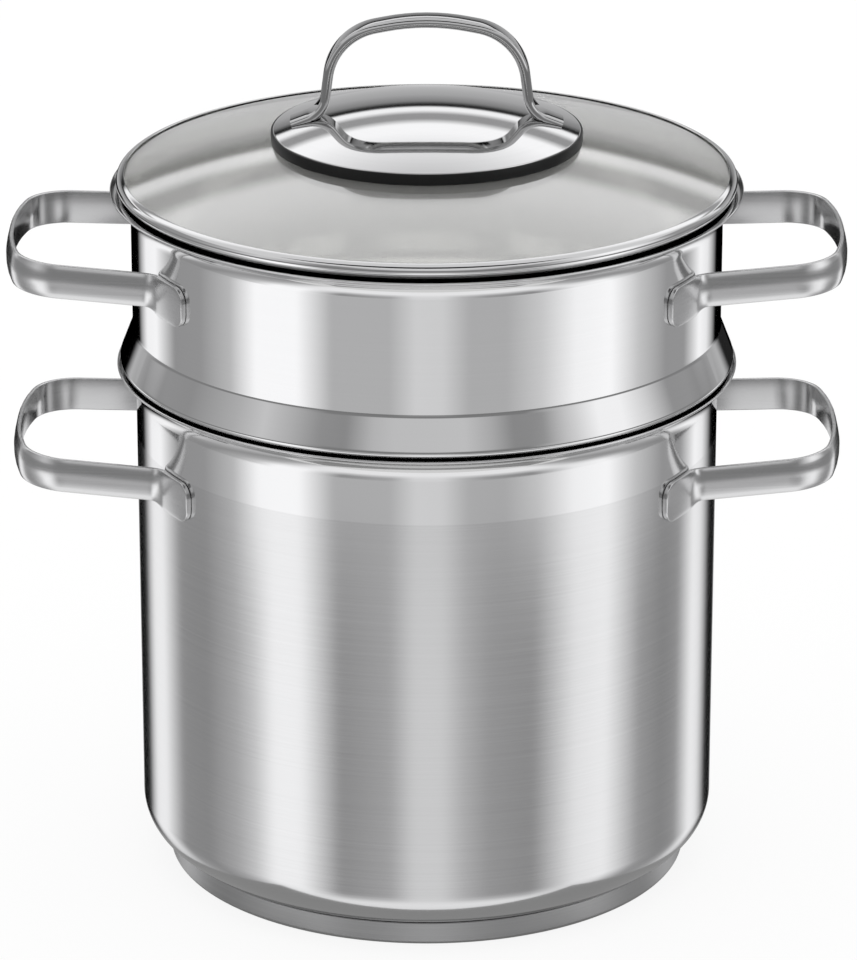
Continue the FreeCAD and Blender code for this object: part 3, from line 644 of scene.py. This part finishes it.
plate = {
    "centre": 127.585, "dome": 200, "radius": 63.2, "sheet": 1, "topInset": 0.45, "underInset": 0.8,
    "edgeStart": 80, "edgeEnd": -100, "topSteps": 28, "underSteps": 20,
    "bossRadius": 6, "bossFoot": 317.585, "boreRadius": 2.7, "boreDepth": 7,
    "gasketRadius": 64, "gasketBore": 24, "gasketGap": 0.1, "gasketSeat": 63.3, "gasketTop": 317.037,
    "gasketEdge": ((0, 0.3), (0.12, 0.08), (0.3, 0)), "gasketSteps": 16,
}


def plateSection():
    top = arcPoints(plate["centre"], plate["dome"], 0, plate["radius"] - plate["topInset"],
                    plate["topSteps"])
    slope = math.degrees(math.asin(plate["radius"] / plate["dome"]))
    halfSheet = plate["sheet"] / 2
    edgeRadius = plate["radius"] - halfSheet
    middle = Vector((edgeRadius,
                     plate["centre"] + math.sqrt((plate["dome"] - halfSheet) ** 2 - edgeRadius ** 2)))
    edge = cornerRound(middle, halfSheet, plate["edgeStart"] - slope / 2, plate["edgeEnd"])
    under = arcPoints(plate["centre"], plate["dome"] - plate["sheet"], plate["bossRadius"],
                      plate["radius"] - plate["underInset"], plate["underSteps"])
    foot, boreTop = plate["bossFoot"], plate["bossFoot"] + plate["boreDepth"]
    boss = [Vector((plate["bossRadius"], foot)), Vector((plate["boreRadius"], foot)),
            Vector((plate["boreRadius"], boreTop)), Vector((0, boreTop))]
    return top + edge + list(reversed(under)) + boss


standIn("lidPlate", spinMesh("lidPlate", plateSection(), lidSteel), "lid_plate", lidSteel)


def gasketSection():
    low = arcPoints(lid["glassCentre"], lid["glassDome"] + plate["gasketGap"], plate["gasketBore"],
                    plate["gasketRadius"], plate["gasketSteps"])
    high = arcPoints(plate["centre"], plate["dome"] - plate["sheet"] - plate["gasketGap"],
                     plate["gasketBore"], plate["gasketSeat"], plate["gasketSteps"])
    lip = [Vector((plate["gasketRadius"] - inset, plate["gasketTop"] - drop))
           for inset, drop in plate["gasketEdge"]]
    lip.append(Vector((plate["gasketSeat"], plate["gasketTop"])))
    return low + lip + list(reversed(high)) + [low[0]]


gasketMesh = spinMesh("plateGasket", gasketSection(), gasketRubber)
standIn("plateGasket", gasketMesh, "plate_gasket", gasketRubber)


def sweep(stations, sections):
    # Lays a section of (inward, level) pairs across each (point, heading) station and closes both ends.
    count = len(sections[0])
    vertices = [(point + leftOf(heading) * inward, level)
                for (point, heading), section in zip(stations, sections) for inward, level in section]
    faces = []
    for row in range(len(stations) - 1):
        for step in range(count):
            a, b = row * count + step, row * count + (step + 1) % count
            faces.append((a, b, b + count, a + count))
    last = (len(stations) - 1) * count
    faces.append(tuple(range(count - 1, -1, -1)))
    faces.append(tuple(range(last, last + count)))
    return vertices, faces


def roundedBar(width, thickness, edge, steps=5):
    section = []
    for x, y, start in ((thickness - edge, width / 2 - edge, 0), (edge, width / 2 - edge, 90),
                        (edge, edge - width / 2, 180), (thickness - edge, edge - width / 2, 270)):
        section += [tuple(point) for point in cornerRound((x, y), edge, start, start + 90, steps)]
    return section


bow = {
    "tip": (56, 321.585), "foot": (44.1, 326.163, 9), "shoulder": (39.85, 359.1, 26), "crown": (0, 366.9, 90),
    "thickness": 4, "width": 12.5, "edge": 1.9, "seatGap": 0.15, "turnStep": 3, "sharpAngle": 50,
}


def bowMesh():
    right = [bow["tip"], bow["foot"], bow["shoulder"]]
    left = [(-corner[0],) + corner[1:] for corner in reversed(right)]
    stations = bentLine(right + [bow["crown"]] + left, turnStep=bow["turnStep"])
    section = roundedBar(bow["width"], bow["thickness"], bow["edge"])
    spots, faces = sweep(stations, [section] * len(stations))
    seat = plate["dome"] + bow["seatGap"]
    centre = Vector((0, 0, plate["centre"]))
    vertices = []
    for point, level in spots:
        spot = Vector((point[0], level, point[1])) - centre
        if spot.length < seat:
            spot *= seat / spot.length
        vertices.append((spot + centre) * mm)
    return cleanMesh("lidBow", vertices, faces)


standIn("lidBow", bowMesh(), "lid_handle", bowSteel, bow["sharpAngle"])

strap = {
    "line": [(49.8, 0), (49.8, 19, 120), (42.8, 49.3, 22), (-12.9, 55.3)], "footBend": 9, "footSteps": 12,
    "half": 7.1, "inner": 1.4, "crown": 1.1, "edge": 0.6, "rise": 3.5, "seatGap": 0.15, "turnStep": 4,
    "crownSteps": 12, "crownShare": 0.92, "sharpAngle": 60,
}
tab = {
    "half": 8.5, "inner": 1.1, "crown": 0.2, "edge": 0.45, "length": 22, "azimuth": 32.6, "corner": 6,
    "sink": 0.75, "blend": 3.5, "steps": 10,
}


def strapLine(wall):
    # Half of the strap's middle line, from the loop's outer end to the tip of the tab along the wall.
    points = [(wall + x, y) + tuple(bend) for x, y, *bend in strap["line"]]
    start, towards = Vector(points[-2][:2]), Vector(points[-1])
    heading = math.atan2(*(towards - start).yx)
    bend, seat = strap["footBend"], wall + strap["seatGap"] + tab["inner"]
    offset = start - leftOf(heading) * bend
    along = offset.dot(ahead(heading))
    run = -along - math.sqrt(along ** 2 - offset.length_squared + (seat + bend) ** 2)
    centre = offset + ahead(heading) * run
    stations = bentLine(points[:-1] + [tuple(start + ahead(heading) * run)], turnStep=strap["turnStep"])
    landing = math.atan2(*centre.yx)
    lastHeading = landing + math.pi / 2
    for step in range(1, strap["footSteps"] + 1):
        turned = heading + (lastHeading - heading) * step / strap["footSteps"]
        stations.append((centre + leftOf(turned) * bend, turned))
    tip = math.radians(tab["azimuth"]) + tab["length"] / 2 / wall
    corner = tab["corner"] / seat
    azimuths = list(np.linspace(landing, tip - corner, tab["steps"])[1:])
    azimuths += [tip - corner + corner * math.sin(math.pi / 2 * step / tab["steps"])
                 for step in range(1, tab["steps"] + 1)]
    return stations + [(ahead(azimuth) * seat, azimuth + math.pi / 2) for azimuth in azimuths]


def strapSection(share, left):
    # Flat inside, crowned outside, with eased edges. share is 0 on the strap and 1 on its tab, left is the
    # length that is left up to the tip, round which the tab's corners close.
    half, inner, crown, edge = (strap[key] + (tab[key] - strap[key]) * share
                                for key in ("half", "inner", "crown", "edge"))
    outer = inner
    if left < tab["corner"]:
        half -= tab["corner"] - math.sqrt(tab["corner"] ** 2 - (tab["corner"] - left) ** 2)
    if left < tab["edge"]:
        outer -= tab["edge"] - math.sqrt(tab["edge"] ** 2 - (tab["edge"] - left) ** 2)
    radius = crown / 2 + half ** 2 / 2 / crown
    lean = math.degrees(math.asin(half / radius))
    outside, inside, side = outer - crown - edge, edge - inner, half - edge
    outline = []
    for x, z, start, end in ((outside, side, lean, 90), (inside, side, 90, 180), (inside, -side, 180, 270),
                             (outside, -side, 270, 360 - lean)):
        outline += [tuple(point) for point in cornerRound((x, z), edge, start, end, 4)]
    for step in range(1, strap["crownSteps"]):
        turn = math.radians(lean) * (2 * step / strap["crownSteps"] - 1) * strap["crownShare"]
        outline.append((outer - radius + radius * math.cos(turn), radius * math.sin(turn)))
    return [(-x, z) for x, z in outline]


def strapMesh(name, wall, height, side):
    line = strapLine(wall)
    lengths = [0]
    for (point, heading), (after, turned) in zip(line[::-1], line[-2::-1]):
        lengths.append(lengths[-1] + (after - point).length)
    lengths.reverse()
    shares = []
    for left in lengths:
        share = min(max((tab["length"] + tab["blend"] - left) / 2 / tab["blend"], 0), 1)
        shares.append(share * share * (3 - 2 * share))
    sections = [strapSection(share, left) for share, left in zip(shares, lengths)]
    mirrored = [(Vector((point.x, -point.y)), math.pi - heading) for point, heading in line[:0:-1]]
    spots, faces = sweep(mirrored + line, sections[:0:-1] + sections)
    bothShares = shares[:0:-1] + shares
    tilt = math.radians(strap["rise"])
    seat = wall + strap["seatGap"]
    count = len(sections[0])
    vertices = []
    for index, (point, level) in enumerate(spots):
        share = bothShares[index // count]
        out = point[0] - wall
        spot = Vector((wall + out * math.cos(tilt) - level * math.sin(tilt) * (1 - share), point[1],
                       height + out * math.sin(tilt) + level * math.cos(tilt) - tab["sink"] * share))
        reach = math.hypot(spot.x, spot.y)
        if reach < seat:
            spot.x, spot.y = spot.x * seat / reach, spot.y * seat / reach
        vertices.append(Vector((spot.x * side, spot.y, spot.z)) * mm)
    return cleanMesh(name, vertices, faces)


# Each pair of straps: its owner, the radius of the wall that it is welded to, and its height.
for owner, wall, height in (("pot", 121, 182.4), ("insert", 122, 266.1)):
    for way, side in (("Right", 1), ("Left", -1)):
        name = owner + "Handle" + way
        standIn(name, strapMesh(name, wall, height, side), f"{owner}_handle_{way.lower()}",
                handleSteel, strap["sharpAngle"])

# The hidden fixings and the aluminium disc keep their CAD shape.
keptNodes = {"base_core": coreAluminium, "inner_seal": gasketRubber, "screw_washer": lidSteel,
             "lid_screw": lidSteel}
for node, finish in keptNodes.items():
    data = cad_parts[node].data
    data.materials.clear()
    data.materials.append(finish)


def emissionFinish(name, colorMaker):
    material, maker = newMaterial(name)
    color = colorMaker(maker)
    light = maker.add("ShaderNodeEmission", {"Color": color, "Strength": 1.0})
    maker.add("ShaderNodeOutputMaterial", {"Surface": light.outputs[0]})
    material.cycles.emission_sampling = "NONE"
    return material


# Light levels of the card round the pot, zone above zone, by bearing in degrees: 0 is behind the camera and
# plus is to the right. Between two zones the levels blend from the lower to the higher of the two edges.
cards = {
    "zones": {
        "foot": [(-180, 0.8), (-120, 0.6), (-95, 0.4), (-75, 0.55), (-55, 1.15), (55, 1.15), (75, 0.55),
                 (95, 0.4), (120, 0.6), (180, 0.8)],
        "low": [(-180, 1.1), (-173, 0.9), (-165, 0.0), (-149, 0.0), (-144, 0.55), (-138, 1.2), (-128, 1.3),
                (-113, 0.38), (-96, 0.36), (-80, 0.58), (-71, 0.85), (-62, 1.4), (-50, 1.4), (-34, 0.38),
                (-14, 0.54), (-5, 0.95), (6, 0.95), (14, 0.66), (24, 0.45), (42, 0.36), (60, 1.2), (74, 1.35),
                (92, 0.46), (106, 0.34), (117, 0.4), (130, 1.3), (138, 1.1), (144, 0.55), (150, 0.0),
                (164, 0.0), (173, 0.9), (180, 1.1)],
        "collar": [(-180, 0.0), (-149, 0.0), (-144, 0.55), (-138, 1.2), (-128, 1.3), (-113, 0.4), (-96, 0.42),
                   (-80, 0.7), (-68, 1.4), (-50, 1.4), (-36, 0.62), (-14, 0.62), (-4, 0.9), (6, 0.88),
                   (16, 0.6), (30, 0.6), (44, 0.85), (58, 1.3), (74, 1.4), (88, 0.8), (104, 0.42),
                   (117, 0.42), (130, 1.3), (138, 1.1), (144, 0.55), (150, 0.0), (180, 0.0)],
        "belt": [(-180, 0.62), (-173, 0.3), (-168, 0.0), (-144, 0.0), (-138, 0.6), (-120, 0.3), (-14, 0.26),
                 (-6, 0.35), (6, 0.35), (14, 0.26), (120, 0.3), (140, 0.6), (147, 0.02), (168, 0.02),
                 (173, 0.3), (180, 0.62)],
        "brow": [(-180, 0.62), (-140, 1.0), (-128, 1.2), (-113, 0.4), (-96, 0.38), (-74, 0.6), (-62, 0.8),
                 (-50, 0.6), (-36, 0.28), (36, 0.28), (56, 0.9), (66, 1.3), (76, 1.3), (88, 0.9), (100, 0.4),
                 (117, 0.42), (132, 1.2), (145, 0.9), (180, 0.62)],
        "high": [(-180, 1.0), (-165, 0.3), (-150, 0.3), (-142, 1.2), (-128, 1.2), (-113, 0.4), (-96, 0.38),
                 (-74, 0.6), (-62, 0.8), (-50, 0.6), (-40, 0.4), (-30, 0.36), (-20, 0.66), (-12, 0.74),
                 (14, 0.76), (24, 0.58), (32, 0.36), (44, 0.38), (56, 0.9), (66, 1.3), (76, 1.3), (88, 0.9),
                 (100, 0.4), (117, 0.42), (132, 1.3), (142, 1.2), (153, 0.3), (163, 0.3), (180, 1.0)],
        "ceiling": [(-180, 0.85), (180, 0.85)],
    },
    "edges": [(-2.2, -1.1), (-0.735, -0.705), (-0.39, -0.36), (0.2, 0.4), (0.95, 1.1), (1.6, 1.9)],
    "radius": 2.4, "bottom": -4.5, "top": 3.4, "steps": 120, "brightest": 1.6, "blue": 1.012, "under": 0.9,
    "overhead": [(-2.4, 0.04), (-0.7, 0.04), (-0.5, 0.85), (2.4, 0.85)],
    # shade, shadeReach and shadeHeight set the shade card, a painted shadow: a dark sheet under the base that
    # stands in for the floor's shadow round the pot in reflections.
    "shade": 0.35, "shadeReach": 0.15, "shadeHeight": -0.04,
}

# The stepped card behind the pot, by height in metres.
backCard = {
    "levels": [(0.1, 0.55), (0.6, 0.45), (0.85, 0.28), (0.97, 0.02), (1.03, 0.02), (1.09, 1.2), (1.18, 1.2),
               (1.3, 0.4), (1.46, 0.4), (1.62, 1.3), (1.86, 1.3), (2.17, 1.18), (2.68, 1.0), (3.35, 0.8)],
    "radius": 2.2, "halfWidth": 50,
}


def objectPlace(maker):
    place = maker.add("ShaderNodeTexCoord").outputs["Object"]
    return maker.add("ShaderNodeSeparateXYZ", {0: place}).outputs


def levelRamp(maker, along, stopsGiven):
    ramp = maker.add("ShaderNodeValToRGB", {0: along})
    stops = ramp.color_ramp.elements
    while len(stops) > 1:
        stops.remove(stops[-1])
    for index, (spot, level) in enumerate(stopsGiven):
        stop = stops[0] if index == 0 else stops.new(spot)
        stop.position = spot
        stop.color = grey(level / cards["brightest"], cards["blue"])
    return ramp.outputs[0]


def brightened(maker, color):
    return maker.add("ShaderNodeMix", {0: 1.0, 6: color, 7: grey(cards["brightest"])},
                     data_type="RGBA", blend_type="MULTIPLY").outputs[2]


def levelsAlong(maker, way, levels):
    # The levels by place on one axis, spread over the ramp from the first of them to the last.
    first, last = levels[0][0], levels[-1][0]
    along = maker.add("ShaderNodeMapRange", {0: way, 1: first, 2: last}).outputs[0]
    return levelRamp(maker, along, [((spot - first) / (last - first), level) for spot, level in levels])


def cardColor(maker):
    x, y, z = objectPlace(maker)
    bearing = maker.math("ARCTAN2", x, maker.math("MULTIPLY", y, -1))
    along = maker.math("ADD", maker.math("DIVIDE", bearing, fullTurn), 0.5)
    walls = None
    for levels, edge in zip(cards["zones"].values(), [None] + cards["edges"]):
        zone = levelRamp(maker, along, [(angle / 360 + 0.5, level) for angle, level in levels])
        if edge:
            rise = maker.add("ShaderNodeMapRange", {0: z, 1: edge[0], 2: edge[1]}).outputs[0]
            zone = maker.add("ShaderNodeMix", {0: rise, 6: walls, 7: zone}, data_type="RGBA").outputs[2]
        walls = zone
    return brightened(maker, walls)


def backColor(maker):
    return brightened(maker, levelsAlong(maker, objectPlace(maker)[2], backCard["levels"]))


def overheadColor(maker):
    # Dark towards the camera, which draws the dark line along every rounded upper edge.
    return brightened(maker, levelsAlong(maker, objectPlace(maker)[1], cards["overhead"]))


def evenColor(level):
    def color(maker):
        card = maker.add("ShaderNodeRGB")
        card.outputs[0].default_value = grey(level)
        return card.outputs[0]
    return color


def curvedCard(name, radius, bottom, top, middle, halfWidth, colorMaker):
    steps = cards["steps"]
    vertices = []
    for height in (bottom, top):
        for step in range(steps + 1):
            bearing = math.radians(middle + halfWidth * (2 * step / steps - 1))
            vertices.append((radius * math.sin(bearing), -radius * math.cos(bearing), height))
    faces = [(step, step + 1, steps + 2 + step, steps + 1 + step) for step in range(steps)]
    card = meshObject(name, vertices, faces)
    card.data.materials.append(emissionFinish(name + "Light", colorMaker))
    return card


def squareSheet(name, half, height):
    corners = [(-half, -half, height), (half, -half, height), (half, half, height), (-half, half, height)]
    return meshObject(name, corners, [(0, 1, 2, 3)])


def flatCard(name, half, height, colorMaker):
    card = squareSheet(name, half, height)
    card.data.materials.append(emissionFinish(name + "Light", colorMaker))
    return card


def studioCards():
    # Only the object's reflections see them, as with cards held just outside a photograph.
    backFoot, backTop = backCard["levels"][0][0], backCard["levels"][-1][0]
    made = [curvedCard("ringCard", cards["radius"], cards["bottom"], cards["top"], 0, 180, cardColor),
            curvedCard("backCard", backCard["radius"], backFoot, backTop, 180, backCard["halfWidth"],
                       backColor),
            flatCard("underCard", cards["radius"], cards["bottom"], evenColor(cards["under"])),
            # The shade card is a painted shadow, not a studio card: it darkens what the base corner and lower
            # edges reflect, where the floor's shadow falls round the pot.
            flatCard("paintedShadowCard", cards["shadeReach"], cards["shadeHeight"], evenColor(cards["shade"])),
            flatCard("overheadCard", cards["radius"], cards["top"], overheadColor)]
    for card in made:
        card.visible_camera = False
        card.visible_diffuse = False
        card.visible_transmission = False
        card.visible_shadow = False


studioCards()

floorLook = {"half": 6, "paint": 0.97, "lift": 0.86}


def studioFloor():
    floor = squareSheet("studioFloor", floorLook["half"], 0)
    material, maker = newMaterial("studioFloorPaint")
    path = maker.add("ShaderNodeLightPath").outputs
    seen = maker.math("MAXIMUM", maker.math("MAXIMUM", path["Is Camera Ray"], path["Is Glossy Ray"]),
                      path["Is Transmission Ray"])
    paint = maker.add("ShaderNodeBsdfDiffuse", {"Color": grey(floorLook["paint"])})
    white = maker.add("ShaderNodeEmission", {"Color": grey(1.0), "Strength": 1.0})
    mixed = maker.add("ShaderNodeMixShader", {0: maker.math("MULTIPLY", seen, floorLook["lift"]),
                                              1: paint.outputs[0], 2: white.outputs[0]})
    maker.add("ShaderNodeOutputMaterial", {"Surface": mixed.outputs[0]})
    floor.data.materials.append(material)
    floor.visible_glossy = False


studioFloor()

world = bpy.data.worlds.new("studioWorld")
bpy.context.scene.world = world
world.use_nodes = True
backdrop = world.node_tree.nodes["Background"]
backdrop.inputs["Color"].default_value = grey(1.0)
backdrop.inputs["Strength"].default_value = 1.0

softbox = {"side": 3.0, "energy": 6, "place": (0, 0.3, 2.2)}
overhead = bpy.data.lights.new("overheadSoftbox", "AREA")
overhead.shape = "RECTANGLE"
overhead.size = softbox["side"]
overhead.size_y = softbox["side"]
overhead.energy = softbox["energy"]
lampObject = bpy.data.objects.new("overheadSoftbox", overhead)
lampObject.location = softbox["place"]
lampObject.visible_glossy = False
bpy.context.scene.collection.objects.link(lampObject)

bpy.context.scene.view_settings.view_transform = "Standard"

view = {"place": (0, -2.1244, 0.9550), "target": (0, 0, 0.16336), "lens": 202.4, "sensor": 36,
        "shift": 0.0018}
camera = bpy.data.objects.new("camera", bpy.data.cameras.new("camera"))
camera.data.sensor_width = view["sensor"]
camera.data.lens = view["lens"]
camera.data.shift_x = view["shift"]
camera.location = view["place"]
camera.rotation_mode = "QUATERNION"
camera.rotation_quaternion = (Vector(view["target"]) - Vector(view["place"])).to_track_quat("-Z", "Y")
bpy.context.scene.collection.objects.link(camera)
bpy.context.scene.camera = camera

print("studio ready")
